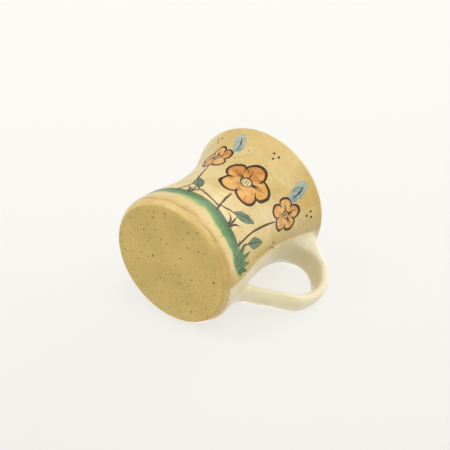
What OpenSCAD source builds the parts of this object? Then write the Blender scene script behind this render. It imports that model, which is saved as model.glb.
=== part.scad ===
// A hand-thrown clay mug with a pulled strap handle, glazed and brush painted.
// It stands upright on its flat bare disc, origin at the centre of that disc,
// with the handle towards +X and the painted side towards -Y.

/* [Body] */
// Height of the mug from the disc it stands on to the rim
body_h = 90; // [75:0.5:110]
// Diameter of the flat bare disc underneath
disc_d = 71.8; // [64:0.2:75]
// Widest diameter of the foot, above its rounded edge
foot_d = 78.8; // [76:0.2:88]
// Height of the rounded edge between the disc and the foot
edge_h = 5.6; // [3:0.1:8]
// Diameter of the waist
waist_d = 71; // [64:0.2:75]
// Height of the waist
waist_h = 45; // [38:0.5:54]
// Outer diameter of the rim
rim_d = 92.4; // [84:0.2:104]
// Outward lean of the wall at the rim, in degrees
rim_lean = 25; // [15:1:32]
// Thickness of the finished wall
wall_t = 4; // [3:0.1:5.5]
// Thickness of the finished floor
floor_t = 6; // [4:0.1:9]
// Radius of the inner corner between floor and wall
corner_r = 9; // [4:0.5:14]

/* [Handle] */
// How far below the rim the upper end of the strap meets the wall
upper_drop = 10.8; // [9:0.2:18]
// Upward slope of the strap as it leaves the wall, in degrees
upper_rise = 10; // [0:1:18]
// Length of the straight start of the strap, from the middle of the wall
start_l = 4.8; // [3:0.1:9]
// Radius of the upper bend of the strap, at its middle line
crook_r = 19.8; // [15:0.2:24]
// Angle turned by the upper bend, in degrees
crook_turn = 99; // [85:1:110]
// Radius of the lower bend of the strap, at its middle line
heel_r = 24.7; // [18:0.2:28]
// Angle turned by the lower bend, in degrees
heel_turn = 50; // [40:1:58]
// Thickness of the strap
strap_t = 6.8; // [5:0.1:9]
// Width of the strap at its upper end
strap_top_w = 21; // [14:0.2:24]
// Width of the strap along the rest
strap_w = 13.2; // [10:0.2:17]
// Length of the luted joint at each end of the strap
joint_l = 7; // [4:0.2:9]
// How far the luted joint spreads beyond the strap, on each side
joint_flare = 2.6; // [1:0.1:4]

/* [Glaze] */
// Thickness of each coat of glaze
coat_t = 0.5; // [0.3:0.05:1]
// Height of the bare clay below the glaze on the rounded edge
bare_h = 1; // [0.6:0.1:2.5]
// Angle of the pale panel that the handle stands on, in degrees
panel_angle = 54; // [44:1:66]

/* [Painting] */
// Thickness of the raised painted slip
paint_t = 0.25; // [0.15:0.05:0.5]
// Height of the lower edge of the green brushed band above the rounded edge
band_rise = 6.4; // [2:0.2:10]
// Width of the green brushed band
band_w = 8; // [4:0.5:12]
// Diameter of the large painted flower
flower_d = 30; // [20:0.5:32]
// Height of the large painted flower above the waist
flower_rise = 8; // [2:0.5:12]
// Diameter of the small painted flowers
bud_d = 19; // [12:0.5:21]
// How far the small painted flowers stand below the rim
bud_drop = 26; // [22:0.5:30]
// Clearance sideways between the large flower and the small ones beside it
bud_gap = 3; // [1:0.5:5]
// Length of a painted leaf
leaf_l = 17; // [12:0.5:19]
// Clearance between the green band and the painted leaves above it
leaf_gap = 4.5; // [1:0.5:6]
// Length of a blue dab
dab_l = 14; // [8:0.5:15]
// How far the blue dabs stand below the rim
dab_drop = 13; // [11:0.5:15]
// Clearance sideways between the large flower and the blue dabs beside it
dab_gap = 0.8; // [0.4:0.1:2]

/* [Hidden] */
$fn = 96;

disc_r = disc_d / 2;
foot_r = foot_d / 2;
waist_r = waist_d / 2;
rim_r = rim_d / 2;
lip_r = wall_t / 2;
centre_share = 0.36;
petal_place_share = 0.3;
leaf_width_share = 0.42;
dab_width_share = 0.6;
overrun = wall_t;

// Where the painted motifs stand around the wall, and how they lie, in degrees.
flower_turn = -94;
bud_turn = asin(flower_d / 2 / waist_r) + asin((bud_d / 2 + bud_gap) / waist_r);
bud_turns = [flower_turn - bud_turn, flower_turn + bud_turn, 98];
leaf_turns = [-124, -70, -45, 76, 122];
leaf_tilts = [128, 40, 66, 50, 130];
dab_tilt = -14;
dab_half = norm([dab_width_share * dab_l * cos(dab_tilt), dab_l * sin(dab_tilt)]) / 2;
dab_turn = asin(flower_d / 2 / waist_r) + asin((dab_half + dab_gap) / waist_r);
dab_turns = [flower_turn - dab_turn, flower_turn + dab_turn, 76, 122];

// Heights that follow from the drops, rises and clearances.
upper_h = body_h - upper_drop;
band_h = edge_h + band_rise;
flower_h = waist_h + flower_rise;
bud_h = body_h - bud_drop;
leaf_h = band_h + band_w + leaf_gap + leaf_l / 2;
dab_h = body_h - dab_drop;

// Steps along each stretch of the outlines.
edge_steps = 5;
wall_steps = 14;
lip_steps = 12;

// One point, and the direction of travel, on a cubic curve.
function bez(p, t) = pow(1 - t, 3) * p[0] + 3 * t * pow(1 - t, 2) * p[1]
  + 3 * t * t * (1 - t) * p[2] + pow(t, 3) * p[3];
function bez_way(p, t) = 3 * pow(1 - t, 2) * (p[1] - p[0])
  + 6 * t * (1 - t) * (p[2] - p[1]) + 3 * t * t * (p[3] - p[2]);

// The outer outline rises in three stretches: edge, lower wall, upper wall.
// Each outline point is kept with the unit normal that faces outwards.
lip_mid = [rim_r - lip_r, body_h - lip_r];
lip_out = lip_mid + lip_r * [cos(rim_lean), -sin(rim_lean)];
edge_bow_share = 0.75;
lower_pull_share = 0.42;
upper_pull_share = 0.4;
lower_span = waist_h - edge_h;
upper_span = lip_out[1] - waist_h;
edge_bow = [disc_r + edge_bow_share * (foot_r - disc_r), (1 - edge_bow_share) * edge_h];
edge_curve = [
  [disc_r, 0],
  ([disc_r, 0] + 2 * edge_bow) / 3,
  ([foot_r, edge_h] + 2 * edge_bow) / 3,
  [foot_r, edge_h]
];
lower_curve = [
  [foot_r, edge_h],
  [foot_r, edge_h + lower_pull_share * lower_span],
  [waist_r, waist_h - lower_pull_share * lower_span],
  [waist_r, waist_h]
];
upper_curve = [
  [waist_r, waist_h],
  [waist_r, waist_h + upper_pull_share * upper_span],
  lip_out - upper_pull_share * upper_span * [tan(rim_lean), 1],
  lip_out
];
function outline(curve, steps, first) = [
  for (i = [first:steps])
    let (t = i / steps, p = bez(curve, t), w = bez_way(curve, t))
    [p, [w[1], -w[0]] / norm(w)]
];
wall_line = concat(
  outline(edge_curve, edge_steps, 0),
  outline(lower_curve, wall_steps, 1),
  outline(upper_curve, wall_steps, 1)
);

// The wall outline moved inwards by a depth, and its part above a height.
function skin(depth) = [for (w = wall_line) w[0] - depth * w[1]];
function above(points, h) = [for (p = points) if (p[1] > h) p];
function heights_to_radii(points) = [for (p = points) [p[1], p[0]]];
function radius_at(depth, h) = lookup(h, heights_to_radii(skin(depth)));
function reversed(list) = [for (i = [len(list) - 1:-1:0]) list[i]];
function lip(depth, from, to) = [
  for (i = [1:lip_steps - 1])
    let (a = from + (to - from) * i / lip_steps)
    lip_mid + (lip_r - depth) * [cos(a), sin(a)]
];
function lip_top(depth) = lip_mid + [0, lip_r - depth];

// The inside outline, from the rim down the wall and across the floor.
function hollow(depth, floor_h) =
  let (
    r = corner_r + wall_t - depth,
    start = floor_h + r,
    side = radius_at(depth, start)
  )
  concat(
    reversed(above(skin(depth), start)),
    [
      for (i = [0:lip_steps])
        let (a = 90 * i / lip_steps)
        [side - r * (1 - cos(a)), start - r * sin(a)]
    ],
    [[0, floor_h]]
  );

clay_floor_h = floor_t - coat_t;
liner_depth = wall_t - coat_t;
clay_outline = concat(
  [[0, 0], [radius_at(coat_t, 0), 0]],
  above(skin(coat_t), 0),
  lip(coat_t, -rim_lean, 90),
  [lip_top(coat_t)],
  lip(coat_t, 90, 180 - rim_lean),
  hollow(liner_depth, clay_floor_h)
);
outer_coat_outline = concat(
  [[radius_at(coat_t, bare_h), bare_h], [radius_at(0, bare_h), bare_h]],
  above(skin(0), bare_h),
  lip(0, -rim_lean, 90),
  [lip_top(0), lip_top(coat_t)],
  reversed(lip(coat_t, -rim_lean, 90)),
  reversed(above(skin(coat_t), bare_h))
);
liner_outline = concat(
  [lip_top(coat_t), lip_top(0)],
  lip(0, 90, 180 - rim_lean),
  hollow(wall_t, floor_t),
  reversed(hollow(liner_depth, clay_floor_h)),
  reversed(lip(coat_t, 90, 180 - rim_lean))
);

// The middle line of the strap: a straight start, two bends and a straight
// end that runs into the middle of the wall. Lengths run from the upper end.
start_x = radius_at(wall_t / 2, upper_h);
crook_l = crook_r * crook_turn * PI / 180;
heel_l = heel_r * heel_turn * PI / 180;
crook_way = upper_rise - crook_turn;
heel_way = crook_way - heel_turn;
function way(a) = [cos(a), sin(a)];
function left_of(a) = [-sin(a), cos(a)];
start_end = [start_x, upper_h] + start_l * way(upper_rise);
crook_mid = start_end - crook_r * left_of(upper_rise);
crook_end = crook_mid + crook_r * left_of(crook_way);
heel_mid = crook_end - heel_r * left_of(crook_way);
heel_end = heel_mid + heel_r * left_of(heel_way);
leg_l = (heel_end[0] - waist_r + wall_t / 2) / -cos(heel_way);
strap_l = start_l + crook_l + heel_l + leg_l;
function strap_way(d) =
  d < start_l ? upper_rise
  : d < start_l + crook_l ? upper_rise - crook_turn * (d - start_l) / crook_l
  : d < start_l + crook_l + heel_l
    ? crook_way - heel_turn * (d - start_l - crook_l) / heel_l
  : heel_way;
function strap_point(d) =
  d < start_l ? [start_x, upper_h] + d * way(upper_rise)
  : d < start_l + crook_l ? crook_mid + crook_r * left_of(strap_way(d))
  : d < start_l + crook_l + heel_l ? heel_mid + heel_r * left_of(strap_way(d))
  : heel_end + (d - start_l - crook_l - heel_l) * way(heel_way);

// The strap's section is a flattened round, wider where it leaves the rim,
// and it spreads where it is luted to the wall.
section_points = 20;
squareness = 0.84;
taper_share = 0.5;
top_lute = wall_t / 2 + joint_l;
end_lute = strap_l - wall_t / 2 - joint_l;
function ease(t) = t * t * (3 - 2 * t);
function clip(t) = max(0, min(1, t));
function flare(d) = joint_flare
  * (pow(clip((top_lute - d) / top_lute), 2) + pow(clip((d - end_lute) / (strap_l - end_lute)), 2));
function strap_width(d) = strap_top_w
  + (strap_w - strap_top_w) * ease(clip(d / (taper_share * strap_l))) + 2 * flare(d);
function strap_depth(d) = strap_t + 2 * flare(d);
function bent(v) = sign(v) * pow(abs(v), squareness);
function section(d) =
  let (p = strap_point(d), n = left_of(strap_way(d)), w = strap_width(d) / 2, t = strap_depth(d) / 2)
  [
    for (i = [0:section_points - 1])
      let (a = 360 * i / section_points, u = t * bent(cos(a)), v = w * bent(sin(a)))
      [p[0] + u * n[0], v, p[1] + u * n[1]]
  ];

// A solid swept through the strap's sections between two lengths.
module strap_between(from, to, rings) {
  points = [for (k = [0:rings]) each section(from + (to - from) * k / rings)];
  sides = [
    for (k = [0:rings - 1], i = [0:section_points - 1])
      let (a = k * section_points, j = (i + 1) % section_points)
      each [
        [a + i, a + j, a + section_points + i],
        [a + j, a + section_points + j, a + section_points + i]
      ]
  ];
  ends = [
    [for (i = [section_points - 1:-1:0]) i],
    [for (i = [0:section_points - 1]) rings * section_points + i]
  ];
  polyhedron(points, concat(sides, ends), convexity = 6);
}

module turned(points, angle) {
  rotate([0, 0, -angle / 2])
    rotate_extrude(angle = angle) polygon(points);
}

// A solid of everything within a skin of the wall, to cut against it.
module core(depth) {
  rotate_extrude()
    polygon(concat([[0, 0], [radius_at(depth, 0), 0]], above(skin(depth), 0), [[0, lip_out[1]]]));
}

module joint_blanks() {
  strap_between(0, top_lute, joint_rings);
  strap_between(end_lute, strap_l, joint_rings);
}
joint_rings = 6;
strap_rings = 40;

// A thin raised coat of slip on the glaze, in the shape of its children,
// which are drawn flat with X to the right and Y up, seen from outside.
module painted(turn, h) {
  intersection() {
    rotate_extrude()
      polygon(concat(above(skin(0), bare_h), reversed(above(skin(-paint_t), bare_h))));
    rotate([0, 0, turn]) translate([0, 0, h])
      rotate([90, 0, 90]) linear_extrude(rim_r + overrun) children();
  }
}

module oval(l, w) {
  polygon([for (i = [0:31]) let (a = 360 * i / 32) [w / 2 * cos(a), l / 2 * sin(a)]]);
}

module blossom(d, petals) {
  circle(d = centre_share * d);
  for (i = [0:petals - 1])
    rotate(360 * (i + 1 / 4) / petals) translate([petal_place_share * d, 0])
      circle(d = d - 2 * petal_place_share * d);
}

// A leaf is the overlap of two round discs.
module leaf(l) {
  w = leaf_width_share * l;
  r = (l * l + w * w) / (4 * w);
  intersection() {
    translate([0, r - w / 2]) circle(r = r);
    translate([0, w / 2 - r]) circle(r = r);
  }
}

module clay_body() {
  color("#b9a468") rotate_extrude() polygon(clay_outline);
}

module amber_glaze() {
  color("#d9bd78") rotate([0, 0, 180]) turned(outer_coat_outline, 360 - panel_angle);
}

module pale_glaze_panel() {
  color("#e9e0c4") difference() {
    turned(outer_coat_outline, panel_angle);
    joint_blanks();
  }
}

module liner_glaze() {
  color("#e2cb92") rotate_extrude() polygon(liner_outline);
}

module upper_luted_joint() {
  color("#e6dcbf") difference() {
    strap_between(0, top_lute, joint_rings);
    core(coat_t);
  }
}

module handle_strap() {
  color("#eae1c8") strap_between(top_lute, end_lute, strap_rings);
}

module lower_luted_joint() {
  color("#e6dcbf") difference() {
    strap_between(end_lute, strap_l, joint_rings);
    core(coat_t);
  }
}

module green_band() {
  color("#6f9a62") rotate([0, 0, 180]) intersection() {
    turned(concat(above(skin(0), bare_h), reversed(above(skin(-paint_t), bare_h))), 360 - panel_angle);
    translate([0, 0, band_h]) cylinder(h = band_w, r = rim_r);
  }
}

module orange_flowers() {
  color("#dd9a4e") {
    painted(flower_turn, flower_h) blossom(flower_d, 5);
    for (turn = bud_turns) painted(turn, bud_h) blossom(bud_d, 5);
  }
}

module green_leaves() {
  color("#5f7f5c")
    for (i = [0:len(leaf_turns) - 1])
      painted(leaf_turns[i], leaf_h) rotate(leaf_tilts[i]) leaf(leaf_l);
}

module blue_dabs() {
  color("#8fb0b8")
    for (turn = dab_turns) painted(turn, dab_h) rotate(dab_tilt) oval(dab_l, dab_width_share * dab_l);
}

clay_body();
amber_glaze();
pale_glaze_panel();
liner_glaze();
upper_luted_joint();
handle_strap();
lower_luted_joint();
green_band();
orange_flowers();
green_leaves();
blue_dabs();
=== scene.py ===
"""A small hand-thrown clay mug, glazed amber and cream and brush painted.

The pieces are drawn in millimetres and scaled to metres as their meshes are
made; places in shaders, the grounds and the camera are in metres. The mug
stands on z = 0 with its handle towards +X. The photograph shows it lying down:
there the ground is the plane that touches its foot, its rim and its handle.
"""

import math

import bpy
import numpy as np
from mathutils import Euler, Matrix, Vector


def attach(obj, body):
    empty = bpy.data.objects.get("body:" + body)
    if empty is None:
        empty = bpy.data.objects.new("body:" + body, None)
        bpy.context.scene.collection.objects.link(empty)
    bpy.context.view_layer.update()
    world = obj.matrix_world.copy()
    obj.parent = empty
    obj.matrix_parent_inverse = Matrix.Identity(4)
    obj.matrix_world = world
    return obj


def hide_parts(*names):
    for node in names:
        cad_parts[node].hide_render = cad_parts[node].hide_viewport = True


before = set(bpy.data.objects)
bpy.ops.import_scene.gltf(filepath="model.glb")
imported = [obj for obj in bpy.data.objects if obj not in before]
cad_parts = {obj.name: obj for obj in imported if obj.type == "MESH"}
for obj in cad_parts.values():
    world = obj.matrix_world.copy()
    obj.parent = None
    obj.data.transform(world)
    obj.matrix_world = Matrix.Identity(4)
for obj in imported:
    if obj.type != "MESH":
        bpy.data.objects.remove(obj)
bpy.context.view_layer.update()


# clay_body
# The thrown wall and floor, one piece of buff speckled clay. Only its flat
# bare underside shows, with faint turning rings from being cut off the wheel
# and iron specks that burnt through in the kiln.

BODY_H, WALL_T, FLOOR_T, CORNER_R, COAT_T = 90.0, 4.0, 6.0, 9.0, 0.5
DISC_R, FOOT_R, WAIST_R, RIM_R = 35.9, 39.4, 35.5, 46.2
EDGE_H, WAIST_H, BARE_H = 5.6, 45.0, 0.5
RIM_LEAN = 25.0
LIP_R = WALL_T / 2
LIP_MID = np.array([RIM_R - LIP_R, BODY_H - LIP_R])
lean = math.radians(RIM_LEAN)
LIP_OUT = LIP_MID + LIP_R * np.array([math.cos(lean), -math.sin(lean)])

# The wall's outer line as (radius, height), as in the solids: three curves
# from the disc round the foot, in to the waist and out to the lip.
WAIST_PULL, RIM_PULL = 0.42, 0.4
disc_edge, foot_edge = np.array([DISC_R, 0.0]), np.array([FOOT_R, EDGE_H])
waist = np.array([WAIST_R, WAIST_H])
bow = np.array([DISC_R + 0.75 * (FOOT_R - DISC_R), 0.25 * EDGE_H])
lower, upper = WAIST_H - EDGE_H, LIP_OUT[1] - WAIST_H
CURVES = (
    (disc_edge, (disc_edge + 2 * bow) / 3, (foot_edge + 2 * bow) / 3, foot_edge),
    (foot_edge, foot_edge + [0, WAIST_PULL * lower], waist - [0, WAIST_PULL * lower], waist),
    (waist, waist + [0, RIM_PULL * upper],
     LIP_OUT - RIM_PULL * upper * np.array([math.tan(lean), 1]), LIP_OUT),
)


def bezier(points, t):
    """Points on a curve, and the outward direction at each."""
    a, b, c, d = (np.array(p, float) for p in points)
    t = np.atleast_1d(t)[:, None]
    at = (1 - t) ** 3 * a + 3 * t * (1 - t) ** 2 * b + 3 * t * t * (1 - t) * c + t ** 3 * d
    ahead = 3 * (1 - t) ** 2 * (b - a) + 6 * t * (1 - t) * (c - b) + 3 * t * t * (d - c)
    ahead /= np.linalg.norm(ahead, axis=1)[:, None]
    return at, np.column_stack([ahead[:, 1], -ahead[:, 0]])


def outline(steps=(10, 60, 66)):
    parts = []
    for i, (curve, n) in enumerate(zip(CURVES, steps)):
        parts.append(bezier(curve, np.linspace(0, 1, n + 1)[min(i, 1):]))
    return np.vstack([p[0] for p in parts]), np.vstack([p[1] for p in parts])


WALL, WALL_OUT = outline()


def skin(depth, above=-1.0):
    """The wall's line at a depth under its outer face, above a height."""
    line = WALL - depth * WALL_OUT
    return line[line[:, 1] > above]


def radius_at(height, depth=0.0):
    line = skin(depth)
    return np.interp(height, line[:, 1], line[:, 0])


def skin_point(height, depth):
    return [[radius_at(height, depth), height]]


def lip(depth, start, end, steps=14):
    """The round lip, between two angles from straight out, in degrees."""
    a = np.radians(np.linspace(start, end, steps + 1))
    return LIP_MID + (LIP_R - depth) * np.column_stack([np.cos(a), np.sin(a)])


def hollow(depth, floor_h):
    """The line down the inside, round the corner and in to the middle of the floor."""
    r = CORNER_R + WALL_T - depth
    a = np.linspace(0, math.pi / 2, 13)
    corner = np.column_stack([radius_at(floor_h + r, depth) - r * (1 - np.cos(a)),
                              floor_h + r - r * np.sin(a)])
    floor_line = np.column_stack([np.linspace(corner[-1, 0], 0, 12)[1:], np.full(11, floor_h)])
    return np.vstack([skin(depth, floor_h + r)[::-1], corner, floor_line])


def wobble(points):
    """The slight unevenness of a hand-thrown wall, inwards only, in mm."""
    x, y, z = points.T
    turn = np.arctan2(y, x)
    rise = np.clip(z / 20, 0, 1)
    dip = 0.06 + 0.05 * np.sin(2 * turn + 0.6) + 0.035 * np.sin(3 * turn + z / 23)
    rings = 0.035 + 0.035 * np.sin(2 * math.pi * (z / 6.3 + turn / (2 * math.pi)))
    return rise * (dip + rings)


def turned(profile, columns=256, start=0.0, sweep=2 * math.pi, closed=False):
    """A profile of (radius, height) turned about the axis, as points and faces."""
    whole = sweep > 2 * math.pi - 1e-6
    # a part turn ends in two hair-thin columns, so both parts are shaded alike where they meet
    hair = 0.02
    steps = np.arange(columns) if whole else np.r_[0, hair, 1:columns, columns - hair, columns]
    n, rows = len(steps), len(profile)
    a = start + sweep * steps / columns
    r, z = profile[:, 0], profile[:, 1]
    points = np.stack([r[:, None] * np.cos(a), r[:, None] * np.sin(a), np.repeat(z[:, None], n, 1)], 2)
    points = points.reshape(-1, 3)
    faces = []
    for i in range(rows if closed else rows - 1):
        k = (i + 1) % rows
        if r[i] == r[k] == 0:
            continue
        for j in range(n if whole else n - 1):
            m = (j + 1) % n
            if r[i] == 0:
                faces.append([i * n, k * n + m, k * n + j])
            elif r[k] == 0:
                faces.append([i * n + j, i * n + m, k * n])
            else:
                faces.append([i * n + j, i * n + m, k * n + m, k * n + j])
    if closed and not whole:
        faces.append([i * n for i in range(rows)])
        faces.append([i * n + n - 1 for i in reversed(range(rows))])
    # the unevenness leaves the last millimetre round the axis alone
    away = np.hypot(points[:, 0], points[:, 1])[:, None]
    outward = np.column_stack([points[:, :2] / np.maximum(away, 1e-6), np.zeros(len(points))])
    return points - wobble(points)[:, None] * outward * (away > 1), faces


def spare_points(points, faces):
    """Drops the copies that a turned profile leaves where it meets the axis."""
    used = sorted({i for f in faces for i in f})
    place = {old: new for new, old in enumerate(used)}
    return points[used], [[place[i] for i in f] for f in faces]


def mesh_piece(name, points, faces, slot, mat, *nodes, values=None):
    """A piece from points in mm, with a value for each point where a shader needs one."""
    mesh = bpy.data.meshes.new(name)
    points = np.asarray(points) * 0.001
    mesh.from_pydata([tuple(p) for p in points], [], [tuple(int(i) for i in f) for f in faces])
    for key, column in (values or {}).items():
        layer = mesh.attributes.new(key, "FLOAT", "POINT")
        layer.data.foreach_set("value", np.asarray(column, np.float32))
    mesh.validate()
    # the many-sided faces that close an end stay flat
    for face in mesh.polygons:
        face.use_smooth = face.loop_total < 5
    mesh.materials.append(mat)
    piece = bpy.data.objects.new(name, mesh)
    bpy.context.scene.collection.objects.link(piece)
    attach(piece, "root")
    if nodes:
        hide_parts(*nodes)


def colour(red, green, blue):
    """A shader colour from the 0 to 255 numbers that it should look like."""
    c = np.array([red, green, blue]) / 255
    c = np.where(c <= 0.04045, c / 12.92, ((c + 0.055) / 1.055) ** 2.4)
    return (*(float(v) for v in c), 1.0)


class Nodes:
    """A node tree being wired: each call adds a node and returns its output."""

    def __init__(self, tree, end):
        self.tree, self.end = tree, end

    def add(self, kind, out=0, ins=None, **settings):
        node = self.tree.nodes.new("ShaderNode" + kind)
        for key, value in settings.items():
            setattr(node, key, value)
        for key, value in (ins or {}).items():
            if isinstance(value, bpy.types.NodeSocket):
                self.tree.links.new(value, node.inputs[key])
            else:
                node.inputs[key].default_value = value
        return node.outputs[out]

    def feed(self, **sockets):
        """Links outputs to the sockets of the node that everything runs into."""
        for key, value in sockets.items():
            self.tree.links.new(value, self.end.inputs[key.replace("_", " ")])

    def math(self, how, a, b=0.0, c=0.0):
        return self.add("Math", ins={0: a, 1: b, 2: c}, operation=how)

    def times(self, a, b):
        return self.math("MULTIPLY", a, b)

    def noise(self, at, scale, detail=3.0, rough=0.5, twist=0.0):
        return self.add("TexNoise", ins={"Vector": at, "Scale": scale, "Detail": detail,
                                         "Roughness": rough, "Distortion": twist})

    def strayed(self, value, noise, reach):
        """A value moved up and down by a noise round 0.5, so that its edges wander."""
        return self.math("MULTIPLY_ADD", self.math("SUBTRACT", noise, 0.5), reach, value)

    def ramp(self, value, low, high, to_low=0.0, to_high=1.0, smooth=True):
        return self.add("MapRange", ins={"Value": value, "From Min": low, "From Max": high,
                                         "To Min": to_low, "To Max": to_high},
                        interpolation_type="SMOOTHSTEP" if smooth else "LINEAR")

    def fall(self, value, low, high, start=1.0):
        return self.ramp(value, low, high, start, 0.0)

    def strip(self, value, a, b, c, d):
        """1 between b and c, running out to 0 at a and at d."""
        return self.times(self.ramp(value, a, b), self.fall(value, c, d))

    def mix(self, factor, a, b):
        # 0, 6 and 7 are the node's factor and its two colours, and 2 is their mix
        return self.add("Mix", out=2, ins={0: factor, 6: a, 7: b}, data_type="RGBA")

    def tint(self, base, mask, share, *to):
        """The base colour moved towards another by a share of the mask."""
        return self.mix(self.times(mask, share), base, colour(*to))

    def stretched(self, round_wall, up):
        """The piece's own place scaled so that marks run round the wall."""
        return self.add("VectorMath", ins={0: self.at, 1: (round_wall, round_wall, up)}, operation="MULTIPLY")

    def bump(self, height, strength, distance):
        return self.add("Bump", ins={"Height": height, "Strength": strength, "Distance": distance})

    def value(self, name):
        return self.add("Attribute", out="Fac", attribute_name=name, attribute_type="GEOMETRY")

    def use(self, name, **sockets):
        """The outputs of a shared group, placed here with its own inputs."""
        node = self.tree.nodes.new("ShaderNodeGroup")
        node.node_tree = bpy.data.node_groups[name]
        for key, value in sockets.items():
            self.tree.links.new(value, node.inputs[key])
        return node.outputs


def group(name, outputs, inputs=()):
    """A shared node group that reads the piece's own place and gives back masks and colours."""
    tree = bpy.data.node_groups.new(name, "ShaderNodeTree")
    for label, kind in inputs:
        tree.interface.new_socket(label, in_out="INPUT", socket_type=kind)
    for label, kind in outputs:
        tree.interface.new_socket(label, in_out="OUTPUT", socket_type=kind)
    g = Nodes(tree, tree.nodes.new("NodeGroupOutput"))
    g.given = tree.nodes.new("NodeGroupInput").outputs
    g.at = g.add("TexCoord", out="Object")
    return g


def material(name, **sockets):
    """A new material with its Principled shader's constants set on the sockets."""
    mat = bpy.data.materials.new(name)
    mat.use_nodes = True
    n = Nodes(mat.node_tree, mat.node_tree.nodes["Principled BSDF"])
    for key, value in sockets.items():
        n.end.inputs[key.replace("_", " ")].default_value = value
    n.at = n.add("TexCoord", out="Object")
    return mat, n


# Iron specks: small uneven dots, one to a cell of the flat place that is
# given, and thicker in some places. Sizes and shares are of a cell.
g = group("iron_specks", [("Small", "NodeSocketFloat"), ("Large", "NodeSocketFloat")],
          [("Place", "NodeSocketVector")])
place = g.given["Place"]
crowd = g.ramp(g.noise(place, 95.0, 1.0), 0.4, 0.56, 0.35, 1.0)
for label, scale, size, share in (("Small", 390.0, 0.19, 0.3), ("Large", 190.0, 0.155, 0.5)):
    ragged = g.add("TexNoise", out="Color", ins={"Vector": place, "Scale": 1500.0, "Detail": 2.0})
    bent = g.add("VectorMath", ins={0: ragged, 1: (0.5, 0.5, 0.5)}, operation="SUBTRACT")
    bent = g.add("VectorMath", ins={0: bent, "Scale": 0.0007}, operation="SCALE")
    bent = g.add("VectorMath", ins={0: place, 1: bent}, operation="ADD")
    cell = g.add("TexVoronoi", ins={"Vector": bent, "Scale": scale}, voronoi_dimensions="2D").node
    chance = g.add("SeparateColor", ins={"Color": cell.outputs["Color"]}).node.outputs
    held = g.ramp(chance[0], 1 - share, 1.0, smooth=False)
    reach = g.math("MULTIPLY_ADD", held, 0.45 * size, 0.55 * size)
    speck = g.fall(g.math("DIVIDE", cell.outputs["Distance"], reach), 0.6, 1.15)
    speck = g.times(g.times(speck, crowd), g.ramp(chance[1], 0.0, 1.0, 0.6, 1.0, smooth=False))
    g.feed(**{label: g.times(speck, g.math("GREATER_THAN", held, 0.0))})

bare_clay, n = material("bare_clay", IOR=1.45, Specular_IOR_Level=0.35)
broad = n.noise(n.at, 38.0, 4.0, 0.6)
fine = n.noise(n.at, 900.0, 3.0, 0.6)
x, y, z = n.add("SeparateXYZ", ins={0: n.at}).node.outputs
from_axis = n.math("SQRT", n.math("ADD", n.math("POWER", x, 2.0), n.math("POWER", y, 2.0)))
from_axis = n.math("MULTIPLY_ADD", n.noise(n.at, 60.0), 0.0016, from_axis)
rings = n.math("SINE", n.times(from_axis, 2100.0))
specks = n.use("iron_specks", Place=n.at)
tone = n.mix(n.ramp(broad, 0.35, 0.68), colour(200, 174, 100), colour(216, 188, 112))
tone = n.tint(tone, n.ramp(fine, 0.42, 0.7), 0.45, 218, 196, 134)
tone = n.tint(tone, n.fall(fine, 0.3, 0.46), 0.3, 180, 152, 84)
tone = n.tint(tone, n.ramp(rings, 0.2, 1.0), 0.05, 176, 148, 84)
tone = n.tint(tone, specks["Small"], 0.75, 144, 102, 42)
tone = n.mix(specks["Large"], tone, colour(98, 62, 14))
relief = n.math("MULTIPLY_ADD", rings, 0.05, n.math("MULTIPLY_ADD", fine, 0.9, broad))
n.feed(Base_Color=tone, Roughness=n.ramp(fine, 0.3, 0.7, 0.62, 0.8), Normal=n.bump(relief, 0.2, 0.0004))

# The bare edge is flush with the glaze above it, so no groove shows between
# them. The underside runs up to it in a small worn round.
FLUSH, WORN_R, TOE_H = 0.05, 0.4, 0.3
flat_r = float(radius_at(0.0, FLUSH)) - 0.47
under = np.column_stack([np.linspace(0, flat_r, 24), np.zeros(24)])
worn = np.radians(np.linspace(0, 62, 6))[1:]
round_edge = np.column_stack([flat_r + WORN_R * np.sin(worn), WORN_R * (1 - np.cos(worn))])
bare = skin(FLUSH, 0.3)
bare = bare[bare[:, 1] < BARE_H]
clay = np.vstack([under, round_edge, bare, skin_point(BARE_H, FLUSH), skin_point(BARE_H + TOE_H, COAT_T),
                  skin(COAT_T, BARE_H + 0.4), lip(COAT_T, -RIM_LEAN, 180 - RIM_LEAN)[1:-1],
                  hollow(WALL_T - COAT_T, FLOOR_T - COAT_T)])
mesh_piece("thrown_clay_body", *spare_points(*turned(clay)), "bare_clay", bare_clay, "clay_body")


# amber_glaze and pale_glaze_panel
# The outer coats. The amber one is pooled darker at its lower edge and in
# patches near the rim, with painted shade on the foot and along the rim towards
# the cream panel; the cream one runs up the wall behind the handle, with painted
# shade in its corners there. The two were brushed up to each other, so their
# colours change in one soft line.

def unrolled(n):
    """The turn round the axis, the height, and the wall laid flat with them."""
    x, y, z = n.add("SeparateXYZ", ins={0: n.at}).node.outputs
    turn = n.math("ARCTAN2", y, x)
    mean_r = 0.04
    return turn, z, n.add("CombineXYZ", ins={0: n.times(turn, mean_r), 1: z})


g = group("wall_glaze", [("Color", "NodeSocketColor"), ("Pale", "NodeSocketColor")])
turn, z, flat = unrolled(g)
aside = g.math("ABSOLUTE", turn)
broad = g.noise(g.at, 24.0, 3.0, 0.55, 0.4)
cloud = g.noise(g.at, 75.0, 4.0, 0.6)
fine = g.noise(g.at, 700.0, 3.0, 0.6)
mottle = g.noise(g.at, 190.0, 4.0, 0.65)
lap = g.noise(g.stretched(1.0, 1.9), 38.0, 5.0, 0.6, 0.6)
brushed = g.stretched(0.28, 2.4)
streaks = g.noise(brushed, 330.0, 3.0, 0.6)

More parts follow.
